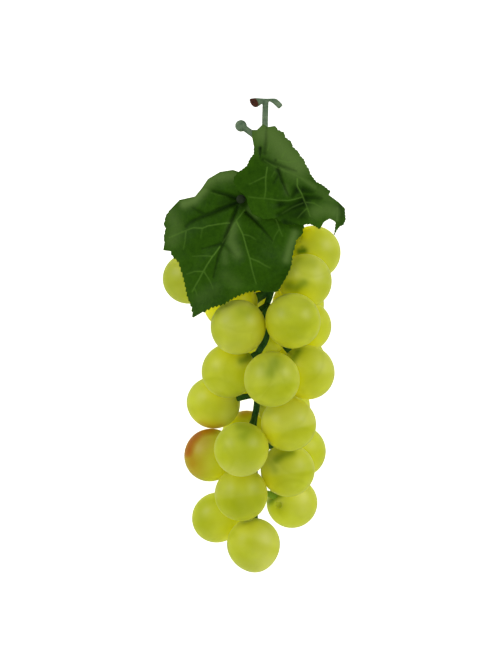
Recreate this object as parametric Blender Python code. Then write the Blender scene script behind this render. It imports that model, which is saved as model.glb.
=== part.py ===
"""A bunch of artificial green grapes lying on a surface: +Y towards the stem's end, +Z up.

Each grape is a turned body with a blind hole for its peg. The stem is one moulding with its
pegs, arms and leaf pins. Two leaves with toothed edges lie over the bunch on those pins.
"""

import math

import bmesh
import bpy
from mathutils import Vector, geometry

MM = 0.001

# Grapes, in millimetres: place of the centre and radius. These can be seen from above.
SHOWN_GRAPES = (
    (-29.1, 25.6, 24.0, 11.5),
    (26.4, 37.3, 24.0, 11.9),
    (22.2, 23.6, 43.5, 11.8),
    (19.9, 13.7, 9.0, 11.8),
    (-7.3, 3.3, 53.7, 12.1),
    (16.2, 6.3, 59.0, 12.0),
    (22.1, 2.7, 35.0, 11.7),
    (22.2, -16.1, 40.3, 12.0),
    (7.6, -19.3, 58.5, 12.2),
    (-11.2, -15.8, 39.4, 12.0),
    (-18.0, -30.0, 20.5, 11.9),
    (-3.4, -17.8, 9.3, 11.8),
    (-20.0, -54.0, 29.5, 11.7),
    (-5.5, -50.0, 52.8, 12.0),
    (-3.5, -46.4, 11.0, 11.8),
    (14.8, -38.1, 46.1, 12.0),
    (20.6, -53.7, 11.6, 11.8),
    (14.4, -60.8, 34.0, 11.9),
    (-5.9, -70.8, 38.5, 11.8),
    (-16.6, -83.4, 20.5, 11.3),
    (17.2, -76.3, 11.0, 11.5),
    (-1.2, -94.3, 27.0, 12.0),
    (-11.2, 14.4, 32.2, 11.9),
    (-5.4, 12.3, 9.0, 11.8),
)

# Grapes that the leaves or other grapes hide: they give way first when the bunch settles.
HIDDEN_GRAPES = (
    (-3.6, 32.3, 50.0, 11.9),
    (-18.5, 44.0, 36.0, 11.6),
    (17.5, 60.0, 35.5, 11.5),
    (8.0, 34.0, 11.4, 11.7),
    (-13.0, 37.0, 11.4, 11.6),
    (9.0, 56.5, 14.0, 11.5),
    (17.5, -10.5, 12.0, 11.7),
    (13.0, -33.0, 21.0, 11.6),
    (-9.0, 52.0, 20.0, 11.5),
    (7.4, -2.9, 20.0, 8.0),
)

GRAPE_SIDES = 14
GRAPE_BANDS = 8
GRAPE_LENGTH = 1.03  # length along its own axis over its width
GRAPE_GAP = 0.5 * MM  # least gap between two grapes
SETTLE_ROUNDS = 400
SHOWN_SLIP = 0.06  # how far a shown grape slips sideways, where a hidden one slips 1
FLAT_DEPTH = 0.4 * MM  # how deep the lowest grapes are pressed flat where they rest

# Main stem, in millimetres: points from its free end to the tip of the bunch, and its radius.
STEM_ROUTE = (
    (4.8, 108.0, 45.0),
    (4.5, 99.0, 45.0),
    (4.4, 92.0, 45.3),
    (4.8, 77.7, 45.5),
    (5.3, 60.2, 42.0),
    (6.3, 46.0, 38.0),
    (7.6, 33.6, 35.0),
    (7.4, 20.2, 34.5),
    (4.6, 10.8, 34.0),
    (5.2, -0.9, 34.0),
    (1.4, -8.1, 34.0),
    (0.0, -16.5, 34.0),
    (0.9, -30.5, 33.0),
    (-0.7, -40.5, 32.0),
    (-0.4, -56.3, 29.0),
    (0.3, -70.0, 26.5),
    (0.1, -80.0, 25.0),
)
STEM_RADIUS = 1.25 * MM
STEM_TIP_RADIUS = 1.4 * MM
STEM_SIDES = 8
CURVE_STEPS = 3  # straight pieces between two points of a route

# Pegs that carry the grapes.
PEG_ROOT_RADIUS = 1.0 * MM
PEG_END_RADIUS = 1.45 * MM
PEG_DEPTH = 7.0 * MM  # length inside the grape
PEG_COLLAR = 1.0 * MM  # how far outside the grape the peg reaches its full width
PEG_SIDES = 6
FIT_GAP = 0.3 * MM  # between two pieces that touch
# How far up the stem from its grape a peg may start, in millimetres, best choice first.
PEG_RISES = (9.0, 11.0, 7.0, 13.0, 5.0, 15.0, 3.0, 18.0, 0.0, 21.0, -3.0, -6.0)

# Parts of the stem above the grapes, in millimetres. A straight cut ends them all.
STEM_CUT = 104.9 * MM
BALL_ARM = ((4.6, 81.0, 45.0), (2.6, 85.6, 44.4), (-1.4, 89.6, 44.6), (-6.2, 92.9, 45.0))
BALL_ARM_RADIUS = 1.35 * MM
BALL_CENTRE = (-6.3, 93.0, 45.0)
BALL_RADIUS = 2.55 * MM
SIDE_ARM = ((4.6, 106.0, 45.0), (8.4, 104.2, 45.5), (11.3, 101.4, 46.0))
SIDE_ARM_RADIUS = 1.3 * MM
CANE = ((5.6, 107.9, 42.4), (3.5, 106.3, 43.9), (-0.7, 103.2, 47.0))
CANE_RADIUS = 2.5 * MM
CANE_BACK_RADIUS = 2.0 * MM
CANE_SIDES = 10

# Leaf stalks, with a button on or under the leaf.
FRONT_STALK_START = (4.9, 70.0, 44.0)
TOP_STALK_START = (4.6, 74.0, 45.0)
PIN_RADIUS = 1.1 * MM
UPRIGHT = Vector((0.0, 0.0, 4.0 * MM))  # the stretch of a stalk just under its leaf
STALK_SAG = Vector((0.0, 0.0, 1.0 * MM))
PIN_OVERLAP = Vector((0.0, 0.0, 0.3 * MM))  # how far the pin reaches into its button
BUTTON_RADIUS = 2.0 * MM
BUTTON_HEIGHT = 1.4 * MM
BUTTON_LIFT = 0.5 * MM  # between the button and the leaf
LEAF_THICKNESS = 0.9 * MM  # measured upright, so that sloping stretches stay over 0.6
LEAF_CLEARANCE = 0.9 * MM  # over the grapes
LEAF_GRID = 5.0 * MM
TOOTH_PITCH = 2.1 * MM
TOOTH_HEIGHT = 0.85 * MM
TOOTH_LEAN = 0.3 * MM  # towards the leaf's tip
SMOOTH_EDGE = 9.0 * MM  # the edge this near the joint has no teeth
DRAPE_SOFTNESS = 2.5 * MM
LEAF_LIFT = 0.9 * MM  # of the top leaf over the front leaf
RING_GAP = 0.5 * MM  # between a button's rim and the leaf's ring of points round it

# The front leaf's dome, in millimetres.
DOME_TOP = (-2.2, 45.0, 57.0)
DOME_ACROSS = 109.0  # twice the radius of its curve
DOME_UP = 110.0
DOME_DOWN = 900.0

# The top leaf's fold, in millimetres: a ridge from the joint down to the right.
RIDGE_TOP = 60.3
RIDGE_SLANT = 0.48
RIDGE_ROUNDING = 3.0
FOLD_BOTH_SIDES = 0.37  # slope away from the ridge on each side
FOLD_BACK_TILT = 0.23  # more slope behind the ridge and less before it
DROOP_START = 20.0
DROOP = 30.0  # twice the radius of the drooping end

FRONT_JOINT = (-6.3, 59.5)
FRONT_OUTLINE = (
    (-0.9, 12.5), (-3.5, 13.3), (-9.3, 12.5), (-14.6, 9.4), (-17.2, 5.4), (-20.3, 1.6),
    (-27.1, 0.1), (-30.9, -3.9), (-33.7, -7.4), (-34.0, -12.3), (-33.7, -17.5), (-34.3, -22.1),
    (-30.4, -23.3), (-27.3, -27.3), (-25.1, -34.3), (-23.4, -42.7), (-21.0, -51.8),
    (-16.8, -49.3), (-13.0, -47.1), (-7.9, -45.8), (-3.1, -42.7), (2.2, -40.5), (9.6, -37.8),
    (13.8, -40.5), (16.8, -37.6), (19.4, -33.0), (21.8, -29.9), (22.5, -24.6), (24.3, -17.5),
    (27.7, -10.8), (25.5, -5.5), (20.0, -1.5), (14.5, 2.5), (9.0, 6.0), (5.5, 5.5), (2.0, 3.4),
    (0.5, 7.0),
)
TOP_JOINT = (3.4, 77.9)
TOP_OUTLINE = (
    (0.0, 15.2), (-2.6, 12.5), (-4.8, 12.1), (-4.8, 9.5), (-3.9, 4.8), (-3.9, 2.0),
    (-5.7, -0.2), (-7.0, -3.3), (-9.2, -5.1), (-11.9, -7.3), (-12.8, -10.8), (-11.0, -14.4),
    (-7.9, -19.7), (-4.8, -24.5), (-0.4, -26.7), (6.2, -26.3), (9.3, -28.9), (17.7, -29.1),
    (20.8, -28.9), (24.8, -31.0), (26.9, -28.0), (29.4, -26.6), (31.4, -33.8),
    (34.0, -29.8), (36.4, -27.2), (36.0, -21.9), (33.6, -19.4), (29.1, -16.1),
    (26.1, -11.7), (23.4, -10.4), (20.8, -6.9), (18.6, -2.5), (16.3, 1.1), (13.0, 5.0),
    (9.7, 9.2), (6.4, 12.5), (2.0, 13.9),
)

GRAPE_GREEN = (0.43, 0.50, 0.035)
STEM_GREEN = (0.045, 0.09, 0.035)
LEAF_GREEN = (0.026, 0.085, 0.012)


def clear_scene():
    for old in list(bpy.data.objects):
        bpy.data.objects.remove(old, do_unlink=True)


def material(name, colour, roughness):
    made = bpy.data.materials.new(name)
    made.use_nodes = True
    shader = made.node_tree.nodes["Principled BSDF"]
    shader.inputs["Base Color"].default_value = (*colour, 1.0)
    shader.inputs["Roughness"].default_value = roughness
    shader.inputs["Metallic"].default_value = 0.0
    return made


def object_from(name, mesh_maker, finish, parent):
    """A named object from a bmesh, in smooth shading, under the bunch's empty."""
    mesh = bpy.data.meshes.new(name)
    mesh_maker.to_mesh(mesh)
    mesh_maker.free()
    mesh.shade_smooth()
    mesh.set_sharp_from_angle(angle=math.radians(35.0))
    made = bpy.data.objects.new(name, mesh)
    bpy.context.scene.collection.objects.link(made)
    made.data.materials.append(finish)
    made.parent = parent
    return made


def smooth_route(points, steps):
    """Points of a smooth curve through the given ones, in metres."""
    given = [Vector(point) * MM for point in points]
    padded = [2.0 * given[0] - given[1], *given, 2.0 * given[-1] - given[-2]]
    route = []
    for before, start, end, after in zip(padded, padded[1:], padded[2:], padded[3:]):
        for step in range(steps):
            t = step / steps
            route.append(
                0.5
                * (
                    2.0 * start
                    + (end - before) * t
                    + (2.0 * before - 5.0 * start + 4.0 * end - after) * t * t
                    + (3.0 * start - before - 3.0 * end + after) * t**3
                )
            )
    route.append(given[-1])
    return route


def settle(places, radii, shown, stem):
    """Pushes grapes apart until none overlap each other, the stem or the surface below."""
    sideways = [SHOWN_SLIP if seen else 1.0 for seen in shown]
    slip = [Vector((share, share, 1.0)) for share in sideways]
    count = len(places)
    for _ in range(SETTLE_ROUNDS):
        for i in range(count):
            for j in range(i + 1, count):
                apart = places[j] - places[i]
                short = radii[i] + radii[j] + GRAPE_GAP - apart.length
                if short > 0.0:
                    way = apart.normalized()
                    ease = sum(way[k] ** 2 * (slip[i][k] + slip[j][k]) for k in range(3))
                    push = way * (short / ease)
                    places[i] -= push * slip[i]
                    places[j] += push * slip[j]
            leave_stem(places, radii, slip, stem, i)
            lowest = radii[i] - FLAT_DEPTH
            places[i].z = max(places[i].z, lowest)


def nearest_on(route, place):
    """The nearest point on a route: (distance, point, length of route before it)."""
    found = []
    run = 0.0
    for start, end in zip(route, route[1:]):
        share = geometry.intersect_point_line(place, start, end)[1]
        share = min(max(share, 0.0), 1.0)
        point = start.lerp(end, share)
        piece = (end - start).length
        found.append(((place - point).length, point, run + share * piece))
        run += piece
    return min(found, key=lambda item: item[0])


def leave_stem(places, radii, slip, stem, i):
    """Pushes grape i off the main stem."""
    gap, point, _ = nearest_on(stem, places[i])
    short = radii[i] + STEM_TIP_RADIUS + GRAPE_GAP - gap
    if short > 0.0:
        way = (places[i] - point).normalized()
        ease = sum(way[k] ** 2 * slip[i][k] for k in range(3))
        places[i] += way * (short / ease) * slip[i]


def point_at(route, run):
    """The point this far along a route."""
    for start, end in zip(route, route[1:]):
        piece = (end - start).length
        if run <= piece:
            return start.lerp(end, max(run, 0.0) / piece)
        run -= piece
    return route[-1].copy()


def peg_root(i, places, radii, stem):
    """Where on the stem the peg of grape i starts: the first choice that clears the others."""
    beside = nearest_on(stem, places[i])[2]
    others = [j for j in range(len(places)) if j != i]
    found = []
    for rise in PEG_RISES:
        root = point_at(stem, beside - rise * MM)
        towards = (places[i] - root).normalized()
        mouth = places[i] - towards * radii[i]
        clear = min(nearest_on([root, mouth], places[j])[0] - radii[j] for j in others)
        if clear > PEG_END_RADIUS + FIT_GAP:
            return root
        found.append((clear, root))
    return max(found, key=lambda item: item[0])[1]


def turned(profile, sides):
    """A closed turned body about Z from (radius, height) pairs that start and end on the axis."""
    maker = bmesh.new()
    rings = []
    for radius, height in profile:
        if radius == 0.0:
            rings.append([maker.verts.new((0.0, 0.0, height))])
            continue
        ring = []
        for side in range(sides):
            turn = 2.0 * math.pi * side / sides
            ring.append(maker.verts.new((radius * math.cos(turn), radius * math.sin(turn), height)))
        rings.append(ring)
    for low, high in zip(rings, rings[1:]):
        for side in range(sides):
            after = (side + 1) % sides
            below = [low[side % len(low)], low[after % len(low)]]
            above = [high[after % len(high)], high[side % len(high)]]
            maker.faces.new(list(dict.fromkeys([*below, *above])))
    bmesh.ops.recalc_face_normals(maker, faces=maker.faces)
    return maker


def grape_profile(radius):
    """From the far pole up to the rim of the peg's hole, and down the hole to its end."""
    hole = (PEG_END_RADIUS + FIT_GAP) / math.cos(math.pi / GRAPE_SIDES)
    half = radius * GRAPE_LENGTH
    rim = math.asin(hole / radius)
    profile = [(0.0, -half)]
    for band in range(1, GRAPE_BANDS + 1):
        angle = math.pi - (math.pi - rim) * band / GRAPE_BANDS
        profile.append((radius * math.sin(angle), half * math.cos(angle)))
    bottom = radius - PEG_DEPTH - FIT_GAP
    profile.append((hole, bottom))
    profile.append((0.0, bottom))
    return profile


def add_grape(number, place, radius, root, finish, parent):
    """Sets a turned grape with its hole towards its peg, and cuts it flat where it rests."""
    maker = turned(grape_profile(radius), GRAPE_SIDES)
    turn = (root - place).to_track_quat("Z", "Y")
    if place.z - radius < 0.0:
        up = turn.inverted() @ Vector((0.0, 0.0, 1.0))
        floor = up * -place.z
        whole = [*maker.verts, *maker.edges, *maker.faces]
        cut = bmesh.ops.bisect_plane(maker, geom=whole, plane_co=floor, plane_no=-up, clear_outer=True)
        edges = [item for item in cut["geom_cut"] if isinstance(item, bmesh.types.BMEdge)]
        bmesh.ops.edgeloop_fill(maker, edges=edges)
        bmesh.ops.recalc_face_normals(maker, faces=maker.faces)
    made = object_from(f"grape_{number:02d}", maker, finish, parent)
    made.location = place
    made.rotation_mode = "QUATERNION"
    made.rotation_quaternion = turn
    return made


def tube(route, radii, sides):
    """A closed tube along a route, its end faces square to it."""
    maker = bmesh.new()
    side_way = Vector((0.31, 0.17, 0.94))
    rings = []
    for index, (place, radius) in enumerate(zip(route, radii)):
        ahead = route[min(index + 1, len(route) - 1)] - route[max(index - 1, 0)]
        across = ahead.cross(side_way).normalized()
        upwards = across.cross(ahead).normalized()
        ring = []
        for side in range(sides):
            turn = 2.0 * math.pi * side / sides
            way = math.cos(turn) * across + math.sin(turn) * upwards
            ring.append(maker.verts.new(place + radius * way))
        rings.append(ring)
    for low, high in zip(rings, rings[1:]):
        for side in range(sides):
            after = (side + 1) % sides
            maker.faces.new((low[side], low[after], high[after], high[side]))
    maker.faces.new(rings[0])
    maker.faces.new(rings[-1])
    bmesh.ops.recalc_face_normals(maker, faces=maker.faces)
    return maker


def ball(centre, radius):
    maker = bmesh.new()
    bmesh.ops.create_icosphere(maker, subdivisions=2, radius=radius)
    bmesh.ops.translate(maker, verts=maker.verts, vec=centre)
    return maker


def pegs(places, radii, roots):
    """A straight peg for each grape, from the main stem into the grape's hole."""
    made = []
    for place, radius, root in zip(places, radii, roots):
        towards = (place - root).normalized()
        end = place - towards * (radius - PEG_DEPTH)
        mouth = place - towards * (radius + PEG_COLLAR)
        widths = [PEG_ROOT_RADIUS, PEG_END_RADIUS, PEG_END_RADIUS]
        made.append(tube([root, mouth, end], widths, PEG_SIDES))
    return made


def slope_out(height, x, y):
    """The way straight out of a leaf's surface at (x, y)."""
    reach = BUTTON_RADIUS
    slope_x = (height(x + reach, y) - height(x - reach, y)) / (2.0 * reach)
    slope_y = (height(x, y + reach) - height(x, y - reach)) / (2.0 * reach)
    return Vector((-slope_x, -slope_y, 1.0)).normalized()


def button(seat, out):
    """A low head standing on its seat, its upper edge sloped in."""
    crown = seat + out * BUTTON_HEIGHT
    widths = [BUTTON_RADIUS, BUTTON_RADIUS, 0.6 * BUTTON_RADIUS]
    return tube([seat, seat.lerp(crown, 0.6), crown], widths, STEM_SIDES)


def stalk(stem, leave_at, top):
    """A leaf's stalk, from the stem to upright under the leaf."""
    start = nearest_on(stem, Vector(leave_at) * MM)[1]
    below = top - UPRIGHT
    middle = start.lerp(below, 0.55) - STALK_SAG
    return tube([start, middle, below, top], [PIN_RADIUS] * 4, PEG_SIDES)


def pinned_stalk(stem, leave_at, joint, height):
    """A stalk whose pin goes through the leaf, with a button on it."""
    x, y = joint[0] * MM, joint[1] * MM
    top = Vector((x, y, height(x, y)))
    out = slope_out(height, x, y)
    seat = top + Vector((0.0, 0.0, LEAF_THICKNESS)) + out * BUTTON_LIFT
    pin = tube([top - UPRIGHT, seat + PIN_OVERLAP], [PIN_RADIUS] * 2, PEG_SIDES)
    return [stalk(stem, leave_at, top), pin, button(seat, out)]


def glued_stalk(stem, leave_at, joint, height):
    """A stalk whose button lies against the leaf's underside."""
    x, y = joint[0] * MM, joint[1] * MM
    out = slope_out(height, x, y)
    under = Vector((x, y, height(x, y))) - out * BUTTON_LIFT
    return [stalk(stem, leave_at, under - out * 0.5 * BUTTON_HEIGHT), button(under, -out)]


def stem_shapes(stem, places, radii, roots, under_front, under_top):
    steps = len(stem) - 1
    taper = (STEM_TIP_RADIUS - STEM_RADIUS) / steps
    shapes = [tube(stem, [STEM_RADIUS + taper * index for index in range(len(stem))], STEM_SIDES)]
    shapes += pegs(places, radii, roots)
    ball_arm = smooth_route(BALL_ARM, 2)
    shapes.append(tube(ball_arm, [BALL_ARM_RADIUS] * len(ball_arm), PEG_SIDES))
    shapes.append(ball(Vector(BALL_CENTRE) * MM, BALL_RADIUS))
    side_arm = smooth_route(SIDE_ARM, 2)
    shapes.append(tube(side_arm, [SIDE_ARM_RADIUS] * len(side_arm), PEG_SIDES))
    cane = [Vector(point) * MM for point in CANE]
    shapes.append(tube(cane, [CANE_BACK_RADIUS, CANE_RADIUS, CANE_RADIUS], CANE_SIDES))
    shapes += pinned_stalk(stem, FRONT_STALK_START, FRONT_JOINT, under_front)
    shapes += glued_stalk(stem, TOP_STALK_START, TOP_JOINT, under_top)
    return shapes


def cut_off(mesh):
    """Cuts a closed mesh straight across at STEM_CUT and closes it again."""
    maker = bmesh.new()
    maker.from_mesh(mesh)
    whole = [*maker.verts, *maker.edges, *maker.faces]
    place, way = (0.0, STEM_CUT, 0.0), (0.0, 1.0, 0.0)
    cut = bmesh.ops.bisect_plane(maker, geom=whole, plane_co=place, plane_no=way, clear_outer=True)
    edges = [item for item in cut["geom_cut"] if isinstance(item, bmesh.types.BMEdge)]
    bmesh.ops.edgeloop_fill(maker, edges=edges)
    bmesh.ops.recalc_face_normals(maker, faces=maker.faces)
    maker.to_mesh(mesh)
    maker.free()


def add_stem(shapes, finish, parent):
    """One moulding: the shapes joined by a Boolean union and its operands removed."""
    made = object_from("stem", shapes[0], finish, parent)
    group = bpy.data.collections.new("stem_shapes")
    bpy.context.scene.collection.children.link(group)
    for shape in shapes[1:]:
        mesh = bpy.data.meshes.new("stem_shape")
        shape.to_mesh(mesh)
        shape.free()
        group.objects.link(bpy.data.objects.new("stem_shape", mesh))
    join = made.modifiers.new("join", "BOOLEAN")
    join.operation = "UNION"
    join.operand_type = "COLLECTION"
    join.collection = group
    join.solver = "EXACT"
    bpy.context.view_layer.update()
    graph = bpy.context.evaluated_depsgraph_get()
    joined = bpy.data.meshes.new_from_object(made.evaluated_get(graph))
    made.modifiers.clear()
    made.data = joined
    cut_off(joined)
    for shape in list(group.objects):
        bpy.data.objects.remove(shape, do_unlink=True)
    bpy.data.collections.remove(group)
    return made


def soft_top(heights):
    """A smooth height that is never under the highest one."""
    peak = max(heights)
    return peak + DRAPE_SOFTNESS * math.log(sum(math.exp((h - peak) / DRAPE_SOFTNESS) for h in heights))


def grape_tops(x, y, places, radii):
    """The height of a bowl over each grape at (x, y), never under the grape."""
    return [
        place.z + radius - ((x - place.x) ** 2 + (y - place.y) ** 2) / (2.0 * radius)
        for place, radius in zip(places, radii)
    ]


def front_height(x, y, places, radii):
    """The front leaf's underside: a low dome, raised over the grapes."""
    across, along = x / MM - DOME_TOP[0], y / MM - DOME_TOP[1]
    fall = across**2 / DOME_ACROSS + along**2 / (DOME_UP if along > 0.0 else DOME_DOWN)
    dome = DOME_TOP[2] - fall
    return soft_top([dome * MM, *grape_tops(x, y, places, radii)]) + LEAF_CLEARANCE


def top_height(x, y, places, radii):
    """The top leaf's underside: folded along a ridge, drooping to the right, over the front leaf."""
    along, rise = x / MM - TOP_JOINT[0], y / MM - TOP_JOINT[1]
    over_ridge = rise + RIDGE_SLANT * along
    fall = FOLD_BOTH_SIDES * math.hypot(over_ridge, RIDGE_ROUNDING) + FOLD_BACK_TILT * over_ridge
    fall += max(along - DROOP_START, 0.0) ** 2 / DROOP
    over_front = front_height(x, y, places, radii) + LEAF_THICKNESS + LEAF_LIFT
    return soft_top([(RIDGE_TOP - fall) * MM, over_front])


def toothed(outline, joint):
    """The outline in metres, anticlockwise, with saw teeth along it but none by the joint."""
    centre = Vector(joint) * MM
    corners = [centre + Vector(point) * MM for point in outline]
    loop = [*corners, corners[0]]
    points = []
    for start, end in zip(loop, loop[1:]):
        points.append(start)
        if ((start + end) / 2.0 - centre).length < SMOOTH_EDGE:
            continue
        way = (end - start).normalized()
        outwards = Vector((way.y, -way.x))
        lean = way * (TOOTH_LEAN if way.y < 0.0 else -TOOTH_LEAN)
        teeth = max(1, round((end - start).length / TOOTH_PITCH))
        for tooth in range(teeth):
            if tooth > 0:
                points.append(start.lerp(end, tooth / teeth))
            points.append(start.lerp(end, (tooth + 0.5) / teeth) + outwards * TOOTH_HEIGHT + lean)
    return points


def inside(place, loop):
    """Whether a flat place lies inside a closed loop of points."""
    hit = False
    for (ax, ay), (bx, by) in zip(loop, [*loop[1:], *loop[:1]]):
        if (ay > place[1]) != (by > place[1]) and place[0] < ax + (place[1] - ay) / (by - ay) * (bx - ax):
            hit = not hit
    return hit


def leaf_plan(outline, joint, has_hole):
    """Flat triangles of a leaf: (points, triangles), with any hole round its pin."""
    edge = toothed(outline, joint)
    centre = Vector(joint) * MM
    hole_radius = (PIN_RADIUS + FIT_GAP) / math.cos(math.pi / PEG_SIDES)
    turns = [2.0 * math.pi * side / PEG_SIDES for side in range(PEG_SIDES)]
    ways = [Vector((math.cos(a), math.sin(a))) for a in turns]
    hole = [centre + hole_radius * way for way in ways] if has_hole else []
    ring_radius = BUTTON_RADIUS + RING_GAP
    grid = [centre + ring_radius * way for way in ways]
    if not has_hole:
        grid.append(centre)
    low = [min(point[k] for point in edge) for k in range(2)]
    high = [max(point[k] for point in edge) for k in range(2)]
    row_step = LEAF_GRID * math.sqrt(0.75)
    for row in range(int((high[1] - low[1]) / row_step) + 1):
        for column in range(int((high[0] - low[0]) / LEAF_GRID) + 1):
            shift = 0.5 * (row % 2)
            place = Vector((low[0] + (column + shift) * LEAF_GRID, low[1] + row * row_step))
            from_edge = min((place - point).length for point in edge)
            from_ring = (place - centre).length - ring_radius
            if from_edge > 0.45 * LEAF_GRID and from_ring > 0.3 * LEAF_GRID and inside(place, edge):
                grid.append(place)
    points = [*edge, *hole, *grid]
    ends = [(k, (k + 1) % len(edge)) for k in range(len(edge))]
    ends += [(len(edge) + k, len(edge) + (k + 1) % len(hole)) for k in range(len(hole))]
    plan = geometry.delaunay_2d_cdt(points, ends, [], 0, 1e-9)
    triangles = []
    for corners in plan[2]:
        middle = sum((plan[0][k] for k in corners), Vector((0.0, 0.0))) / 3.0
        if inside(middle, edge) and not inside(middle, hole):
            triangles.append(corners)
    return plan[0], triangles


def add_leaf(name, plan, height, finish, parent):
    """A thin blade: the same triangles above and below, closed along the edge and the hole."""
    points, triangles = plan
    used = sorted({k for corners in triangles for k in corners})
    maker = bmesh.new()
    under, over = {}, {}
    for k in used:
        x, y = points[k]
        z = height(x, y)
        under[k] = maker.verts.new((x, y, z))
        over[k] = maker.verts.new((x, y, z + LEAF_THICKNESS))
    once = {}
    for corners in triangles:
        maker.faces.new([over[k] for k in corners])
        maker.faces.new([under[k] for k in reversed(corners)])
        for a, b in zip(corners, [*corners[1:], corners[0]]):
            once[(a, b)] = True
    for a, b in once:
        if (b, a) not in once:
            maker.faces.new((under[a], under[b], over[b]))
            maker.faces.new((under[a], over[b], over[a]))
    bmesh.ops.recalc_face_normals(maker, faces=maker.faces)
    return object_from(name, maker, finish, parent)


def centre_on_origin(parent, pieces):
    """Moves the bunch so that its box's bottom centre is the origin, with the surface at z = 0."""
    bpy.context.view_layer.update()
    corners = [piece.matrix_world @ vertex.co for piece in pieces for vertex in piece.data.vertices]
    for k in range(2):
        parent.location[k] = -0.5 * (min(c[k] for c in corners) + max(c[k] for c in corners))


def build():
    clear_scene()
    parent = bpy.data.objects.new("bunch", None)
    bpy.context.scene.collection.objects.link(parent)
    skin = material("grape_skin", GRAPE_GREEN, 0.35)
    bark = material("stem_plastic", STEM_GREEN, 0.5)
    blade = material("leaf_fabric", LEAF_GREEN, 0.55)

    grapes = [*SHOWN_GRAPES, *HIDDEN_GRAPES]
    places = [Vector(grape[:3]) * MM for grape in grapes]
    radii = [grape[3] * MM for grape in grapes]
    shown = [index < len(SHOWN_GRAPES) for index in range(len(grapes))]
    stem = smooth_route(STEM_ROUTE, CURVE_STEPS)
    settle(places, radii, shown, stem)
    roots = [peg_root(i, places, radii, stem) for i in range(len(places))]

    def under_front(x, y):
        return front_height(x, y, places, radii)

    def under_top(x, y):
        return top_height(x, y, places, radii)

    pieces = []
    for number, (place, radius, root) in enumerate(zip(places, radii, roots), start=1):
        pieces.append(add_grape(number, place, radius, root, skin, parent))
    front_plan = leaf_plan(FRONT_OUTLINE, FRONT_JOINT, True)
    top_plan = leaf_plan(TOP_OUTLINE, TOP_JOINT, False)
    pieces.append(add_leaf("leaf_front", front_plan, under_front, blade, parent))
    pieces.append(add_leaf("leaf_top", top_plan, under_top, blade, parent))
    shapes = stem_shapes(stem, places, radii, roots, under_front, under_top)
    pieces.append(add_stem(shapes, bark, parent))
    centre_on_origin(parent, pieces)


build()
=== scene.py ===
import math

import bpy
import numpy as np
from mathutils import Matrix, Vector, geometry


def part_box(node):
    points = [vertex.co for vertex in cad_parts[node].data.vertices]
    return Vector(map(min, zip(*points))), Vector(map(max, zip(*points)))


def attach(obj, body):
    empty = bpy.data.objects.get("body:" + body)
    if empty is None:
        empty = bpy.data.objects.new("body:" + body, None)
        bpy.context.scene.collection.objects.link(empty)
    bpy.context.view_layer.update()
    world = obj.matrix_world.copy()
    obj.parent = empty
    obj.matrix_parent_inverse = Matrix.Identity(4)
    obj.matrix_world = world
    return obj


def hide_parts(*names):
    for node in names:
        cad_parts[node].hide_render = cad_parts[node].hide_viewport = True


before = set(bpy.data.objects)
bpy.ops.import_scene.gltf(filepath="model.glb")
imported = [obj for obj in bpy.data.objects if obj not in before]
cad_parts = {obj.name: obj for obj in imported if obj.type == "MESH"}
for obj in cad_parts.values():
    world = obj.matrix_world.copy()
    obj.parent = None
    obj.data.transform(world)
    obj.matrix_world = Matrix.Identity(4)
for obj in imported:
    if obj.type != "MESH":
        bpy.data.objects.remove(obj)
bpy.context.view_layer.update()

MM = 0.001

# Looks of an artificial bunch of green grapes that lies on a pale floor, seen from above.
# The camera looks straight down. One pixel covers PIXEL on the level plane at PLANE.
PHOTO_SIZE = (480, 665)
PIXEL = 0.4486 * MM
PLANE = 34.0 * MM
CAMERA_RISE = 1200.0 * MM
CAMERA_PLACE = (-6.282 * MM, 2.089 * MM)
SENSOR = 36.0

GRAPE_NAMES = sorted(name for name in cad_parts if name.startswith("grape_"))


def from_photo(px, py, z):
    """The place at height z that the camera sees at a pixel."""
    share = (CAMERA_RISE + PLANE - z) / CAMERA_RISE
    x = CAMERA_PLACE[0] + (px - PHOTO_SIZE[0] / 2) * PIXEL * share
    y = CAMERA_PLACE[1] + (PHOTO_SIZE[1] / 2 - py) * PIXEL * share
    return x, y


def to_photo(points):
    """The pixels at which the camera sees places, as (N, 2)."""
    share = (CAMERA_RISE + PLANE - points[:, 2]) / CAMERA_RISE
    px = PHOTO_SIZE[0] / 2 + (points[:, 0] - CAMERA_PLACE[0]) / (PIXEL * share)
    py = PHOTO_SIZE[1] / 2 - (points[:, 1] - CAMERA_PLACE[1]) / (PIXEL * share)
    return np.stack([px, py], axis=1)


def smoothstep(values, low, high):
    share = np.clip((values - low) / (high - low), 0.0, 1.0)
    return share * share * (3.0 - 2.0 * share)


def along_route(points, route):
    """For flat points, the distance to a route and the share of its length at the nearest place."""
    route = np.asarray(route, float)
    lengths = np.linalg.norm(np.diff(route, axis=0), axis=1)
    before = np.concatenate([[0.0], np.cumsum(lengths)])
    best = np.full(len(points), np.inf)
    share = np.zeros(len(points))
    for index, length in enumerate(lengths):
        way = (route[index + 1] - route[index]) / length
        offset = points - route[index]
        run = np.clip(offset @ way, 0.0, length)
        gap = np.linalg.norm(offset - run[:, None] * way, axis=1)
        nearer = gap < best
        best = np.where(nearer, gap, best)
        share = np.where(nearer, (before[index] + run) / before[-1], share)
    return best, share


def bell(values, width):
    """One where the values are zero, fading to about a third at one width."""
    return np.exp(-((values / width) ** 2))


def strongest(seen, lines):
    """At each pixel the strongest of soft lines, each a route of pixels, a width and a strength."""
    best = np.zeros(len(seen))
    for route, width, strength in lines:
        gap, _ = along_route(seen, route)
        best = np.maximum(best, strength * bell(gap, width))
    return best


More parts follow.
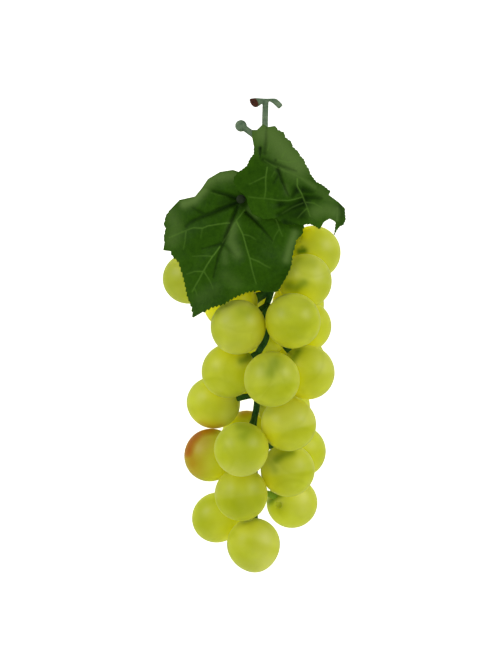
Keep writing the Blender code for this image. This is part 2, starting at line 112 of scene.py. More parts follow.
def mesh_object(name, points, faces, finish, smooth=True):
    mesh = bpy.data.meshes.new(name)
    mesh.from_pydata([tuple(point) for point in points], [], faces)
    mesh.validate()
    if smooth:
        mesh.shade_smooth()
    mesh.materials.append(finish)
    made = bpy.data.objects.new(name, mesh)
    bpy.context.scene.collection.objects.link(made)
    return made


def paint(made, name, values):
    """Keeps one number per vertex, which the material reads by its name."""
    layer = made.data.attributes.new(name, "FLOAT", "POINT")
    layer.data.foreach_set("value", np.ascontiguousarray(values, dtype=np.float32))


# Materials


class Nodes:
    """Short calls to build a material's node tree."""

    def __init__(self, name):
        self.material = bpy.data.materials.new(name)
        self.material.use_nodes = True
        self.tree = self.material.node_tree
        self.shader = self.tree.nodes["Principled BSDF"]

    def link(self, value, socket):
        if isinstance(value, bpy.types.NodeSocket):
            self.tree.links.new(value, socket)
        elif isinstance(value, tuple) and len(value) == 3 and socket.type == "RGBA":
            socket.default_value = (*value, 1.0)
        else:
            socket.default_value = value

    def set(self, **values):
        for name, value in values.items():
            self.link(value, self.shader.inputs[name.replace("_", " ")])

    def painted(self, name):
        node = self.tree.nodes.new("ShaderNodeAttribute")
        node.attribute_name = name
        return node.outputs["Fac"]

    def noise(self, scale, detail=2.0, roughness=0.5, stretch=(1.0, 1.0, 1.0)):
        place = self.tree.nodes.new("ShaderNodeTexCoord")
        mapping = self.tree.nodes.new("ShaderNodeMapping")
        mapping.inputs["Scale"].default_value = stretch
        node = self.tree.nodes.new("ShaderNodeTexNoise")
        node.inputs["Scale"].default_value = scale
        node.inputs["Detail"].default_value = detail
        node.inputs["Roughness"].default_value = roughness
        self.tree.links.new(place.outputs["Object"], mapping.inputs["Vector"])
        self.tree.links.new(mapping.outputs["Vector"], node.inputs["Vector"])
        return node.outputs["Fac"]

    def math(self, operation, first, second):
        node = self.tree.nodes.new("ShaderNodeMath")
        node.operation = operation
        self.link(first, node.inputs[0])
        self.link(second, node.inputs[1])
        return node.outputs["Value"]

    def remap(self, value, from_low, from_high, to_low, to_high):
        node = self.tree.nodes.new("ShaderNodeMapRange")
        self.link(value, node.inputs["Value"])
        node.inputs["From Min"].default_value = from_low
        node.inputs["From Max"].default_value = from_high
        node.inputs["To Min"].default_value = to_low
        node.inputs["To Max"].default_value = to_high
        return node.outputs["Result"]

    def mix(self, share, first, second):
        node = self.tree.nodes.new("ShaderNodeMix")
        node.data_type = "RGBA"
        self.link(share, node.inputs["Factor"])
        # Several sockets share a name, and these are the ones for colours.
        self.link(first, node.inputs[6])
        self.link(second, node.inputs[7])
        return node.outputs[2]

    def bump(self, height, strength, distance):
        node = self.tree.nodes.new("ShaderNodeBump")
        node.inputs["Strength"].default_value = strength
        node.inputs["Distance"].default_value = distance
        self.link(height, node.inputs["Height"])
        return node.outputs["Normal"]


def grape_material():
    """Soft translucent plastic, dark green where a peg shows through, with painted light, painted
    highlights and painted shade.
    """
    n = Nodes("grape_skin_soft")
    cloud = n.remap(n.noise(100.0, 3.0), 0.3, 0.7, 0.0, 1.0)
    colour = n.mix(cloud, (0.455, 0.517, 0.006), (0.57, 0.628, 0.038))
    # Painted light: highlights, a reflected line, and paler sides and bottoms.
    colour = n.mix(n.painted("painted_light"), colour, (0.66, 0.69, 0.17))
    # Painted shade, deeper and more saturated, in a band below the reflected line.
    colour = n.mix(n.painted("deep"), colour, (0.47, 0.51, 0.003))
    # Painted shade on lower sides and listed places, and painted outlines of grapes behind.
    colour = n.mix(n.painted("shade_and_see_through"), colour, (0.30, 0.37, 0.003))
    # Painted glow, lighter and yellower, where other grapes and the front leaf close the skin in.
    colour = n.mix(n.painted("painted_glow"), colour, (0.86, 0.81, 0.010))
    colour = n.mix(n.painted("blush"), colour, (0.39, 0.058, 0.0))
    colour = n.mix(n.painted("peg_shade"), colour, (0.13, 0.235, 0.004))
    rough = n.remap(n.noise(260.0, 3.0), 0.2, 0.8, 0.29, 0.38)
    fine = n.noise(900.0, 2.0)
    n.set(Base_Color=colour, Roughness=rough, Subsurface_Weight=1.0)
    n.set(Normal=n.bump(fine, 0.05, 0.0004), IOR=1.50)
    n.shader.inputs["Specular IOR Level"].default_value = 0.24
    n.shader.inputs["Subsurface Radius"].default_value = (1.0, 1.0, 0.5)
    n.shader.inputs["Subsurface Scale"].default_value = 0.014
    return n.material


def leaf_material():
    """Printed coated cloth: dark green with lighter veins, paler beneath, with painted shade in its
    grooves and painted light on lit places.
    """
    n = Nodes("leaf_cloth")
    cloud = n.remap(n.noise(55.0, 4.0, 0.6), 0.3, 0.7, 0.0, 1.0)
    mottle = n.remap(n.noise(420.0, 4.0, 0.7), 0.3, 0.7, 0.0, 1.0)
    cloud = n.math("ADD", n.math("MULTIPLY", cloud, 0.5), n.math("MULTIPLY", mottle, 0.5))
    colour = n.mix(cloud, (0.014, 0.054, 0.0009), (0.041, 0.120, 0.0032))
    # Painted light and sheen on lit places.
    colour = n.mix(n.painted("lit_patches"), colour, (0.130, 0.226, 0.048))
    # Painted shade in the grooves.
    colour = n.mix(n.painted("groove_shade"), colour, (0.003, 0.014, 0.001))
    colour = n.mix(n.painted("vein"), colour, (0.130, 0.270, 0.034))
    colour = n.mix(n.painted("under"), colour, (0.075, 0.16, 0.045))
    weave_x = n.noise(1500.0, 1.0, 0.5, (1.0, 0.15, 0.3))
    weave_y = n.noise(1500.0, 1.0, 0.5, (0.15, 1.0, 0.3))
    weave = n.math("ADD", weave_x, weave_y)
    rough = n.remap(n.noise(180.0, 3.0), 0.2, 0.8, 0.44, 0.56)
    quilt = n.noise(210.0, 2.0, 0.5)
    relief = n.math("ADD", n.math("MULTIPLY", weave, 0.12), n.math("MULTIPLY", quilt, 1.2))
    n.set(Base_Color=colour, Roughness=rough, Normal=n.bump(relief, 0.5, 0.0010), IOR=1.45)
    n.shader.inputs["Specular IOR Level"].default_value = 0.07
    return n.material


def stem_material():
    """Moulded plastic: dark green among the grapes, a dusty grey green at the free end."""
    n = Nodes("stem_moulding")
    cloud = n.remap(n.noise(420.0, 4.0, 0.6), 0.35, 0.65, 0.0, 1.0)
    dark = n.mix(cloud, (0.012, 0.050, 0.008), (0.032, 0.098, 0.017))
    dusty = n.mix(cloud, (0.090, 0.150, 0.086), (0.195, 0.275, 0.160))
    peg = n.mix(cloud, (0.030, 0.085, 0.008), (0.050, 0.125, 0.014))
    dark = n.mix(n.painted("peg_end"), dark, peg)
    colour = n.mix(n.painted("free_end"), dark, dusty)
    fibres = n.remap(n.noise(900.0, 3.0), 0.3, 0.7, 0.0, 1.0)
    cut = n.mix(fibres, (0.022, 0.007, 0.003), (0.115, 0.032, 0.015))
    colour = n.mix(n.painted("cut_end"), colour, cut)
    colour = n.mix(n.painted("button"), colour, (0.020, 0.031, 0.013))
    # Painted light: a peg lighter and yellow-green, as if lit through a grape's skin.
    colour = n.mix(n.painted("veiled_and_lit"), colour, (0.22, 0.38, 0.020))
    n.shader.inputs["Specular IOR Level"].default_value = 0.12
    rough = n.remap(n.noise(300.0, 2.0), 0.2, 0.8, 0.45, 0.65)
    n.set(Base_Color=colour, Roughness=rough, Normal=n.bump(n.noise(800.0, 3.0), 0.3, 0.0004), IOR=1.46)
    return n.material


def floor_material():
    n = Nodes("pale_floor")
    tone = n.mix(n.noise(3.0, 2.0), (0.90, 0.90, 0.90), (0.92, 0.92, 0.92))
    n.set(Base_Color=tone, Roughness=0.9, Emission_Color=(1.0, 1.0, 1.0), Emission_Strength=0.75)
    return n.material


# Grapes


GRAPE_SIDES = 76
GRAPE_BANDS = 52
GRAPE_LENGTH = 1.03  # length along its own axis over its width
HOLE_RADIUS = 1.62 * MM
HOLE_BOTTOM = 7.3 * MM
LIP = 0.5 * MM
DIMPLE = 0.35 * MM
DIMPLE_WIDTH = 0.30  # as an angle
SWELL = 0.0035  # of the radius, so that no grape is quite round
PEAR_GRAPE = "grape_22"
PEAR = 0.13  # how much narrower this grape gets towards its tip
PEAR_GIRTH = 0.015  # how much wider it is otherwise
SEED = 900  # to which each grape adds its number

# In the CAD mesh, what lies nearer than this share of the reach is the hole.
SHELL_SHARE = 0.86
# Lower than this, the CAD mesh is pressed flat.
FLAT_TOP = 0.02 * MM

# A peg darkens the skin round its hole. On two grapes the photo shows no such ring.
PEG_DEPTH = 7.0 * MM
PEG_RADIUS = 1.4 * MM
PEG_FADE = 1.8 * MM
PEG_RING = 0.32
UNRINGED = ("grape_11", "grape_21")

# Two painted highlights on the skin of every grape.
HIGHLIGHT_WAYS = (np.array((-0.45, 0.27, 0.85)), np.array((0.47, 0.25, 0.84)))
HIGHLIGHT_STRENGTH = 0.26
HIGHLIGHT_WIDTH = 0.24

# A skin gets painted outlines of the grapes behind it, as if seen through, when their centres lie this
# much lower.
BEHIND = 3.0 * MM

# A skin gets a painted glow close to grapes that lie no more than NEXT_BELOW lower, and close to the
# front leaf's edge, for which the reach is in pixels. The edge does nothing to the grape beside it.
NEXT_BELOW = 14.0 * MM
GLOW_REACH = 3.5 * MM
GLOW_EDGE_REACH = 9.0
GLOW_MOST = 0.9
BESIDE_LEAF = "grape_01"
LEAF_LEVEL = 55.0 * MM

# Where the camera sees a peg through the skin: routes of pixels, their width and strength.
PEG_SHADES = {
    "grape_09": [([(275, 362), (270, 372)], 7.5, 0.52), ([(264, 366), (266, 373)], 6.0, 0.28)],
    "grape_05": [([(240, 310), (246, 314), (252, 308)], 4.5, 0.22)],
    "grape_03": [([(288, 286), (296, 288), (304, 283)], 4.5, 0.60)],
    "grape_02": [([(299.5, 251.5), (304, 251)], 3.8, 1.0), ([(302, 247.5), (302, 250)], 2.6, 0.6)],
    "grape_10": [([(241, 361), (246, 359), (251, 355)], 4.0, 0.66)],
    "grape_08": [([(293, 360), (295, 355), (299, 350)], 4.0, 0.70)],
    "grape_16": [([(262, 408), (268, 411)], 5.5, 0.22)],
    "grape_14": [([(240, 427), (248, 430), (243, 436)], 5.5, 0.40)],
    "grape_18": [([(276, 460), (283, 455), (292, 452)], 4.5, 0.62), ([(272, 463), (275, 470)], 4.0, 0.35)],
    "grape_21": [([(270, 502), (275, 497), (281, 494)], 3.6, 0.85)],
    "grape_22": [([(245, 520), (254, 517), (262, 514)], 4.5, 0.40)],
}

# Reddish places: routes of pixels, their width and strength.
BLUSHES = {
    "grape_13": [
        ([(211, 428), (200, 432), (191, 442), (188, 453)], 8.0, 0.84),
        ([(190, 452), (192, 464)], 10.0, 0.52),
        ([(203, 438), (194, 452), (193, 470)], 14.0, 0.40),
    ],
    "grape_11": [([(201, 427), (211, 430), (221, 428)], 5.0, 0.45)],
    "grape_15": [([(243, 412), (252, 410)], 5.5, 0.60)],
}

# Painted reflection: how much paler a skin is above a line, how far up the grape the line is, and its
# tilt.
REFLECTION_LINES = {
    "grape_16": (0.42, -0.20, 0.22),
    "grape_19": (0.28, -0.06, 0.10),
    "grape_09": (0.15, -0.20, 0.10),
    "grape_18": (0.25, -0.10, 0.15),
    "grape_03": (0.20, -0.05, -0.15),
    "grape_08": (0.15, -0.10, 0.12),
    "grape_22": (0.14, 0.30, -0.35),
}
PLAIN_REFLECTION_LINE = (0.05, 0.0, 0.15)

# Painted shade on the skins: routes of pixels, their width and strength.
SHADE_PATCHES = {
    "grape_05": [([(214, 312), (212, 328), (217, 345)], 8.0, 0.38), ([(226, 318), (250, 316)], 9.0, 0.32),
                 ([(230, 346), (246, 346)], 8.0, 0.28)],
    "grape_06": [([(267, 310), (268, 330)], 7.0, 0.28), ([(272, 304), (284, 299)], 7.0, 0.22),
                 ([(281, 311), (286, 312)], 8.0, 0.42)],
    "grape_02": [([(331, 256), (330, 268)], 8.0, 0.36)],
    "grape_16": [([(277, 416), (283, 420)], 8.0, 0.30)],
    "grape_09": [([(250, 368), (248, 386)], 7.0, 0.28)],
    "grape_03": [([(298, 260), (312, 263)], 7.0, 0.38), ([(327, 280), (321, 298)], 8.0, 0.32)],
    "grape_14": [([(247, 438), (248, 468)], 16.0, 0.33)],
    "grape_22": [([(236, 562), (252, 573)], 8.0, 0.28)],
    "grape_01": [([(166, 262), (165, 278), (172, 294), (186, 302)], 15.0, 0.62)],
    "grape_19": [([(240, 484), (240, 510)], 30.0, 0.48), ([(254, 480), (259, 500)], 10.0, 0.60)],
    "grape_13": [([(203, 480), (222, 471)], 9.0, 0.34)],
    "grape_20": [([(199, 503), (199, 526), (214, 541), (229, 533)], 8.0, 0.34)],
}

# Painted highlights on single skins: routes of pixels, their width and strength.
HIGHLIGHT_PATCHES = {
    "grape_01": [([(170, 266), (170, 284), (180, 300)], 14.0, 0.45)],
    "grape_02": [([(331, 244), (333, 262)], 8.0, 0.30)],
    "grape_22": [([(264, 538), (268, 556)], 11.0, 0.42)],
    "grape_21": [([(300, 494), (303, 506)], 9.0, 0.62)],
    "grape_05": [([(226, 312), (228, 328)], 9.0, 0.22), ([(257, 320), (257, 336)], 6.0, 0.30),
                 ([(233, 329), (246, 330)], 8.0, 0.24), ([(224, 306), (237, 301), (250, 303)], 4.5, 0.42)],
    "grape_13": [([(200, 446), (203, 441)], 7.0, 0.40)],
    "grape_11": [([(233, 396), (227, 416)], 8.0, 0.38)],
    "grape_03": [([(318, 272), (320, 286)], 8.0, 0.20)],
    "grape_12": [([(320, 320), (322, 330)], 9.0, 0.25)],
    "grape_08": [([(324, 362), (326, 374)], 9.0, 0.20)],
    "grape_15": [([(316, 450), (318, 460)], 8.0, 0.25)],
}

# Grapes with painted light that makes them pale again at the bottom.
LIT_BELOW = {"grape_05": 0.40, "grape_14": 0.45, "grape_22": 0.35, "grape_20": 0.20}
PLAIN_LIT_BELOW = 0.05


def grape_form(name):
    """Centre, radius and way to the hole of a CAD grape, from its own mesh."""
    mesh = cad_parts[name].data
    points = np.array([vertex.co for vertex in mesh.vertices], float)
    low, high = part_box(name)
    middle = (np.array(low) + np.array(high)) / 2.0
    reach = np.linalg.norm(points - middle, axis=1)
    shell = points[(reach > SHELL_SHARE * reach.max()) & (points[:, 2] > FLAT_TOP)]
    terms = np.hstack([2.0 * shell, np.ones((len(shell), 1))])
    centre = np.linalg.lstsq(terms, (shell**2).sum(axis=1), rcond=None)[0][:3]
    from_centre = np.linalg.norm(points - centre, axis=1)
    axis = points[from_centre.argmin()] - centre
    axis /= np.linalg.norm(axis)
    run = (shell - centre) @ axis
    across = np.linalg.norm(shell - centre - run[:, None] * axis, axis=1)
    radius = np.sqrt((run / GRAPE_LENGTH) ** 2 + across**2).mean()
    return centre, radius, axis


def grape_rings(radius, pear):
    """(radius, place on the axis) from the far pole to the bottom of the hole."""
    rim = math.asin((HOLE_RADIUS + LIP) / radius)
    rings = []
    for band in range(1, GRAPE_BANDS + 1):
        turn = (math.pi - rim) * band / GRAPE_BANDS
        away = math.pi - turn
        dimple = DIMPLE * math.exp(-((away / DIMPLE_WIDTH) ** 2))
        narrow = 1.0 + PEAR_GIRTH * (pear > 0.0) - pear * (0.5 + 0.5 * math.cos(turn)) ** 3
        along = -radius * GRAPE_LENGTH * math.cos(turn) - dimple
        rings.append((radius * math.sin(turn) * narrow, along))
    top = rings[-1][1]
    rings.append((HOLE_RADIUS + 0.35 * LIP, top - 0.10 * LIP))
    rings.append((HOLE_RADIUS, top - 0.8 * LIP))
    rings.append((HOLE_RADIUS, radius - HOLE_BOTTOM))
    return rings


def frame_of(axis):
    """Two ways across an axis."""
    helper = np.array((0.0, 0.0, 1.0)) if abs(axis[2]) < 0.9 else np.array((1.0, 0.0, 0.0))
    first = np.cross(axis, helper)
    first /= np.linalg.norm(first)
    return first, np.cross(axis, first)


def add_grape(name, finish, number, grapes):
    """A finer grape in a CAD grape's place, with the same hole for its peg."""
    centre, radius, axis = grapes[number - 1]
    rings = grape_rings(radius, PEAR if name == PEAR_GRAPE else 0.0)
    first, second = frame_of(axis)
    turns = np.linspace(0.0, 2.0 * math.pi, GRAPE_SIDES, endpoint=False)
    circle = np.cos(turns)[:, None] * first + np.sin(turns)[:, None] * second
    points = [centre - axis * radius * GRAPE_LENGTH]
    for ring, along in rings:
        points.extend(centre + along * axis + ring * circle)
    points.append(centre + axis * (radius - HOLE_BOTTOM))
    points = np.array(points)
    random = np.random.default_rng(SEED + number)
    offset = points - centre
    way = offset / np.linalg.norm(offset, axis=1)[:, None]
    swell = np.zeros(len(points))
    for _ in range(4):
        swell += SWELL * np.sin(2.2 * way @ random.normal(size=3) + random.uniform(0.0, 6.28))
    points = centre + offset * (1.0 + swell[:, None])
    points[:, 2] = np.maximum(points[:, 2], 0.0)
    last = len(points) - 1
    faces = [(0, 1 + (side + 1) % GRAPE_SIDES, 1 + side) for side in range(GRAPE_SIDES)]
    for ring in range(len(rings) - 1):
        low = 1 + ring * GRAPE_SIDES
        high = low + GRAPE_SIDES
        for side in range(GRAPE_SIDES):
            after = (side + 1) % GRAPE_SIDES
            faces.append((low + side, low + after, high + after, high + side))
    low = last - GRAPE_SIDES
    faces += [(low + side, low + (side + 1) % GRAPE_SIDES, last) for side in range(GRAPE_SIDES)]
    made = mesh_object(name.replace("grape", "berry"), points, faces, finish)
    paint_grape(made, name, points, centre, radius, axis, way, grapes)
    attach(made, "root")
    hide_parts(name)


def seen_through(own, seen, grapes):
    """How far grapes behind this one cover each pixel, and how near a rim of theirs is."""
    cover = np.zeros(len(seen))
    rim = np.zeros(len(seen))
    for centre, radius, _ in grapes:
        if centre[2] > own[2] - BEHIND:
            continue
        middle = to_photo(np.array([centre]))[0]
        reach = radius / PIXEL * CAMERA_RISE / (CAMERA_RISE + PLANE - centre[2])
        outside = np.linalg.norm(seen - middle, axis=1) - reach
        cover = np.maximum(cover, smoothstep(-outside, 0.0, 2.5))
        rim = np.maximum(rim, bell(outside + 1.5, 2.4))
    return cover, rim


def close_to_others(name, points, seen, grapes):
    """How much each place is closed in by other grapes and by the front leaf's edge."""
    own = GRAPE_NAMES.index(name)
    near = np.zeros(len(points))
    for index, (centre, radius, _) in enumerate(grapes):
        if index == own or centre[2] < grapes[own][0][2] - NEXT_BELOW:
            continue
        gap = np.linalg.norm(points - centre, axis=1) - radius
        near += 0.8 * np.exp(-np.maximum(gap, 0.0) / GLOW_REACH)
    if name != BESIDE_LEAF:
        gap, _ = along_route(seen, [*FRONT_EDGE, FRONT_EDGE[0]])
        below = smoothstep(LEAF_LEVEL - points[:, 2], 0.0, 8.0 * MM)
        near += 0.85 * below * np.exp(-gap / GLOW_EDGE_REACH)
    return np.clip(near, 0.0, GLOW_MOST)


def paint_grape(made, name, points, centre, radius, axis, way, grapes):
    """Gives each place on a skin its shares of the colours that the material mixes."""
    seen = to_photo(points)
    upper = smoothstep(way[:, 2], -0.05, 0.25)
    rounding = smoothstep(way[:, 2], -0.8, 0.3)
    facing_up = smoothstep(way[:, 2], -0.5, 0.2)
    cover, rim = seen_through(centre, seen, grapes)

    inner = centre + axis * (radius - PEG_DEPTH)
    run = np.clip((points - inner) @ axis, 0.0, PEG_DEPTH)
    from_peg = np.linalg.norm(points - inner - run[:, None] * axis, axis=1)
    ring = 0.0 if name in UNRINGED else PEG_RING
    shade = ring * bell(np.maximum(from_peg - PEG_RADIUS, 0.0), PEG_FADE)
    paint(made, "peg_shade", np.maximum(shade, upper * strongest(seen, PEG_SHADES.get(name, ()))))

    blush = rounding * strongest(seen, BLUSHES.get(name, ()))
    paint(made, "blush", blush)
    # A painted glow where other grapes and the front leaf close the skin in.
    painted_glow = close_to_others(name, points, seen, grapes) * (0.25 + 0.75 * facing_up)
    paint(made, "painted_glow", painted_glow)
    # Painted shade on the lower sides and at listed places, and painted outlines of the grapes behind.
    sides = smoothstep(-way[:, 2], -0.55, 0.0) * (1.0 - painted_glow)
    patch_shade = np.maximum(0.26 * sides, strongest(seen, SHADE_PATCHES.get(name, ())))
    paint(made, "shade_and_see_through", np.maximum(upper * (0.11 * cover + 0.13 * rim), patch_shade))

    paler, line, tilt = REFLECTION_LINES.get(name, PLAIN_REFLECTION_LINE)
    over_line = way[:, 1] - line - tilt * way[:, 0]
    # Painted shade in a band just below the reflected line.
    paint(made, "deep", (0.22 + 0.8 * paler) * bell(over_line + 0.18, 0.22))
    # Painted light: paler above the reflected line and at the bottom, the two highlights, listed
    # highlights, a little everywhere, more where nothing lies behind, and on the lower sides.
    painted_light = paler * smoothstep(over_line, -0.06, 0.07)
    painted_light = painted_light + LIT_BELOW.get(name, PLAIN_LIT_BELOW) * smoothstep(-way[:, 1], 0.25, 0.85)
    for bright in HIGHLIGHT_WAYS:
        painted_light = painted_light + HIGHLIGHT_STRENGTH * bell(np.linalg.norm(way - bright, axis=1), HIGHLIGHT_WIDTH)
    # Each of these clouds is a painted highlight.
    for cloud in HIGHLIGHT_PATCHES.get(name, ()):
        painted_light = painted_light + upper * strongest(seen, [cloud])
    painted_light = painted_light + 0.05 + 0.06 * (1.0 - cover) + 0.30 * sides
    paint(made, "painted_light", np.clip(painted_light, 0.0, 1.0) * (1.0 - blush))


# Leaves


LEAF_STEP = 0.40 * MM  # side of the mesh's triangles
BLADE = 0.5 * MM
CAD_BLADE = 0.9 * MM
LEAF_CLEARANCE = 0.9 * MM  # between the grapes and the front leaf
LEAF_LIFT = 0.9 * MM  # between the two leaves
SOFTNESS = 2.5 * MM
TOOTH_REACH = 6.0  # in pixels, how near a toothed route an edge takes its teeth
VEIN_WIDTH = 0.58  # in pixels
PUCKER = 0.9  # millimetres by which the blade stands up between its grooves
PUCKER_REACH = 4.0

# The part was moved by this much when its box was centred.
SHIFT = (0.447 * MM, 0.967 * MM)
# Form of the leaves, in the part's own millimetres. The front leaf is a dome.
DOME_TOP = (-2.2, 45.0, 57.0)
DOME_ACROSS = 109.0  # twice the radius of its curve
DOME_UP = 110.0
DOME_DOWN = 900.0
# The top leaf falls from a ridge through its joint, and droops at its right end.
TOP_JOINT = (3.4, 77.9)
RIDGE_TOP = 60.3
RIDGE_SLANT = 0.48
RIDGE_ROUNDING = 3.0
FOLD_BOTH_SIDES = 0.37  # slope away from the ridge on each side
FOLD_BACK_TILT = 0.23  # more slope behind the ridge and less before it
DROOP_START = 20.0
DROOP = 30.0  # twice the radius of the drooping end

# Outlines of the leaves, in the photo's pixels.
FRONT_EDGE = [
    (239, 172), (233, 170), (220, 172), (208, 179), (202, 188), (195, 196.5), (179.5, 200),
    (171, 209), (166, 216), (164, 225), (166, 228), (164, 237.5), (164.6, 242), (163.3, 250.3),
    (171, 251.4), (172.6, 255.7), (179, 262), (184, 278), (188, 297), (192, 307), (193.4, 317.7),
    (203, 312), (211.5, 307), (223, 304), (234, 297), (246, 292), (253, 290.5), (259, 290.5),
    (265, 291.5), (272.3, 292), (277, 291.5), (281.2, 285), (286.5, 276), (290.8, 266), (292, 256),
    (296, 240), (302, 234), (303.8, 224.7), (300, 212), (290, 203), (278, 194), (266, 187),
    (257, 186), (248, 190),
]
TOP_EDGE = [
    (263, 124), (257, 130), (252, 130), (252, 137), (254, 147.5), (254, 154), (250, 159),
    (247, 166), (242, 170), (239, 172), (234, 178), (234, 183), (238, 190.5), (243.5, 194.5),
    (246.8, 199), (247.6, 204), (252, 214), (262, 219), (277, 218), (284, 224), (303, 224.5),
    (310, 224), (315, 226), (319.2, 228.8), (321.7, 226), (324, 222), (329.6, 218.8), (334, 221),
    (335.8, 223), (334.2, 235), (336.7, 230), (340, 226), (343, 225), (345.4, 220), (344.6, 208),
    (339, 202.5), (328.8, 195), (330.4, 191.7), (322, 185), (316, 182), (310, 174), (309, 170),
    (305, 164), (304, 160), (300, 156), (298, 152), (292.5, 147), (291, 142), (285, 137.5),
    (284, 133), (277.5, 130), (275, 126), (267.5, 127),
]

# Saw teeth along stretches of the edges: route of pixels, tooth height and pitch in pixels.
FRONT_TEETH = [
    ([(175, 256), (179, 262), (184, 278), (188, 297), (192, 307)], 1.2, 5.0),
    ([(209, 308.5), (223, 304), (234, 297), (246, 292), (253, 290)], 1.6, 4.7),
    ([(265, 291), (275, 291)], 0.7, 4.0),
    ([(281, 285.5), (290.5, 266), (296, 240), (303, 226)], 1.0, 5.0),
    ([(171, 209), (164, 225), (164, 240)], 0.6, 5.0),
]
TOP_TEETH = [
    ([(277, 130), (285, 137.5), (300, 156), (309, 170), (322, 185)], 0.7, 3.6),
    ([(268, 219), (284, 224), (303, 224.5)], 0.9, 4.5),
    ([(310, 224), (319, 228.8)], 0.6, 3.0),
    ([(254, 150), (247, 166), (236, 176)], 0.6, 4.0),
    ([(336, 230), (345, 220)], 0.6, 3.0),
]


def soft_top(heights):
    """The highest of several surfaces, rounded where they cross."""
    peak = heights.max(axis=0)
    return peak + SOFTNESS * np.log(np.exp((heights - peak) / SOFTNESS).sum(axis=0))


def front_height(x, y, grapes):
    """The front leaf's underside, as in the part: a low dome raised over the grapes."""
    across = (x - SHIFT[0]) / MM - DOME_TOP[0]
    along = (y - SHIFT[1]) / MM - DOME_TOP[1]
    curve = np.where(along > 0.0, DOME_UP, DOME_DOWN)
    dome = DOME_TOP[2] - across**2 / DOME_ACROSS - along**2 / curve
    bowls = [c[2] + r - ((x - c[0]) ** 2 + (y - c[1]) ** 2) / (2.0 * r) for c, r, _ in grapes]
    return soft_top(np.array([dome * MM, *bowls])) + LEAF_CLEARANCE


def top_height(x, y, grapes):
    """The top leaf's underside, as in the part: a ridge down to the right and a drooping end."""
    along = (x - SHIFT[0]) / MM - TOP_JOINT[0]
    rise = (y - SHIFT[1]) / MM - TOP_JOINT[1]
    over_ridge = rise + RIDGE_SLANT * along
    fall = FOLD_BOTH_SIDES * np.hypot(over_ridge, RIDGE_ROUNDING) + FOLD_BACK_TILT * over_ridge
    fall = fall + np.maximum(along - DROOP_START, 0.0) ** 2 / DROOP
    over_front = front_height(x, y, grapes) + CAD_BLADE + LEAF_LIFT
    return soft_top(np.array([(RIDGE_TOP - fall) * MM, over_front]))


def toothed(edge, zones):
    """Pixels of an outline with saw teeth that lean down the leaf, along the zones only."""
    loop = [np.array(point, float) for point in edge]
    points = []
    for start, end in zip(loop, [*loop[1:], loop[0]]):
        points.append(start)
        middle = (start + end)[None] / 2.0
        gap, tall, pitch = min((along_route(middle, route)[0][0], h, p) for route, h, p in zones)
        if gap > TOOTH_REACH:
            continue
        step = end - start
        outwards = np.array((-step[1], step[0])) / np.linalg.norm(step)
        peak = 0.78 if step[1] > 0.0 else 0.22
        teeth = max(1, round(float(np.linalg.norm(step)) / pitch))
        for tooth in range(teeth):
            if tooth > 0:
                points.append(start + step * tooth / teeth)
            points.append(start + step * (tooth + peak) / teeth + outwards * tall)
    return points


def placed(pixels, height, grapes):
    """Places on a leaf that the camera sees at these pixels, as flat (N, 2)."""
    pixels = np.asarray(pixels, float)
    z = np.full(len(pixels), LEAF_LEVEL)
    for _ in range(4):
        x, y = from_photo(pixels[:, 0], pixels[:, 1], z)
        z = height(x, y, grapes)
    return np.stack([x, y], axis=1)


def leaf_plan(edge):
    """Fine flat triangles inside an outline."""
    loop = []
    for start, end in zip(edge, np.roll(edge, -1, axis=0)):
        parts = max(1, round(float(np.linalg.norm(end - start)) / LEAF_STEP))
        loop += [start + (end - start) * part / parts for part in range(parts)]
    low, high = edge.min(axis=0), edge.max(axis=0)
    rise = LEAF_STEP * math.sqrt(0.75)
    rows = int((high[1] - low[1]) / rise) + 1
    columns = int((high[0] - low[0]) / LEAF_STEP) + 1
    row, column = np.meshgrid(np.arange(rows), np.arange(columns), indexing="ij")
    x = low[0] + (column + 0.5 * (row % 2)) * LEAF_STEP
    grid = np.stack([x.ravel(), (low[1] + row * rise).ravel()], axis=1)
    within = np.zeros(len(grid), bool)
    near = np.zeros(len(grid), bool)
    for start, end in zip(np.array(loop), np.roll(np.array(loop), -1, axis=0)):
        crosses = (start[1] > grid[:, 1]) != (end[1] > grid[:, 1])
        if start[1] != end[1]:
            at = start[0] + (grid[:, 1] - start[1]) / (end[1] - start[1]) * (end[0] - start[0])
            within ^= crosses & (grid[:, 0] < at)
        near |= np.linalg.norm(grid - start, axis=1) < 0.6 * LEAF_STEP
    grid = grid[within & ~near]
    flat = [Vector(point) for point in [*loop, *grid]]
    ties = [(index, (index + 1) % len(loop)) for index in range(len(loop))]
    plan = geometry.delaunay_2d_cdt(flat, ties, [], 1, 1e-9)
    return np.array([tuple(point) for point in plan[0]]), [tuple(face) for face in plan[2]]


# Pressed grooves: route of pixels, depth at its start and end in millimetres, width, and the darkness of
# the painted shade in it.
# Veins: route and strength. Painted light on lit places: route, width and strength. Bulges: pixel, reach,
# rise.
FRONT_GROOVES = [
    ([(238, 199), (228, 195), (213, 190.5)], 1.5, 0.4, 1.2, 1.0),
    ([(238, 202), (225, 207), (212, 213), (203, 216), (192, 221), (186, 226)], 1.8, 0.3, 1.25, 1.0),
    ([(205, 214.5), (192, 207.5)], 0.7, 0.2, 0.8, 0.6),
    ([(238, 206), (231, 222), (225, 238), (219, 254), (216, 265), (213.5, 277)], 1.4, 0.4, 0.8, 0.85),
    ([(223, 243), (212, 246), (202, 249)], 0.7, 0.2, 0.65, 0.7),
    ([(226, 246), (233, 253), (237, 257)], 0.4, 0.2, 0.6, 0.2),
    ([(246, 212), (256, 221), (263, 229), (273, 241)], 1.2, 0.3, 0.7, 0.9),
    ([(241, 203), (232, 202), (220, 203)], 0.3, 0.1, 3.4, 0.72),
]
